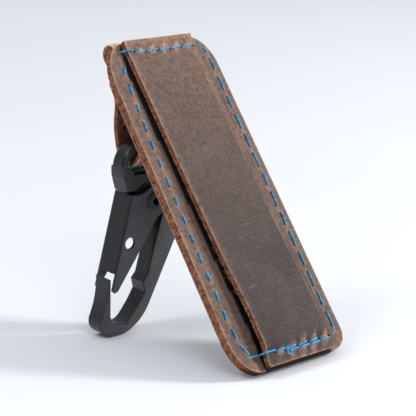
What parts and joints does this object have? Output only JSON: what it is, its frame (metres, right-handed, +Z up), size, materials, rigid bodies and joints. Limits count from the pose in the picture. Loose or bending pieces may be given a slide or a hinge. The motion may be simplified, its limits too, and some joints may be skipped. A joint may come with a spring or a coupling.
{
  "type": "leather belt hanger",
  "caption": "Leather belt hanger that stands as an A-frame: sewn leather panel with a belt strap over its front, and a black sprung snap hook on a leather loop behind its head",
  "frame": {"origin": "middle of the footprint of the whole object as it stands, on the floor", "axes": "+X across the panel, to the right as one faces its front; +Y from the panel's front to its back, where the hook stands; +Z up"},
  "size_m": [0.0523, 0.0778, 0.0971],
  "materials": {
    "panel_leather": "waxed pull-up leather, raw cut edges",
    "strap_leather": "waxed pull-up leather, raw cut edges",
    "hanger_leather": "waxed pull-up leather, raw cut edges",
    "thread": "waxed blue thread",
    "hook_paint": "satin black coating on cast metal",
    "gate_paint": "satin black coating on sheet metal",
    "rivet_paint": "satin black coating",
    "spring_steel": "spring wire"
  },
  "bodies": {
    "panel": {"front_leaf": "panel_leather", "back_leaf": "panel_leather", "belt_strap": "strap_leather", "hanger_tab": "hanger_leather", "edge_thread": "thread"},
    "hanger": {"hanger_strap": "hanger_leather"},
    "hook": {"hook_frame": "hook_paint", "gate_rivet": "rivet_paint"},
    "gate": {"hook_gate": "gate_paint", "gate_spring": "spring_steel"}
  },
  "joints": [
    {"name": "hanger_fold", "type": "hinge", "parent": "panel", "child": "hanger", "pos_m": [0.00335, 0.03527, 0.09165], "axis": [1, 0, 0], "range_deg": [0, 145]},
    {"name": "hook_swing", "type": "hinge", "parent": "hanger", "child": "hook", "pos_m": [0.00335, 0.02593, 0.06327], "axis": [1, 0, 0], "range_deg": [-15, 60]},
    {"name": "gate_open", "type": "hinge", "parent": "hook", "child": "gate", "pos_m": [-0.00495, 0.02659, 0.04459], "axis": [0, -0.9994, -0.0349], "range_deg": [0, 22], "stiffness_Nm_per_rad": 0.05, "springref_deg": -20.05}
  ]
}
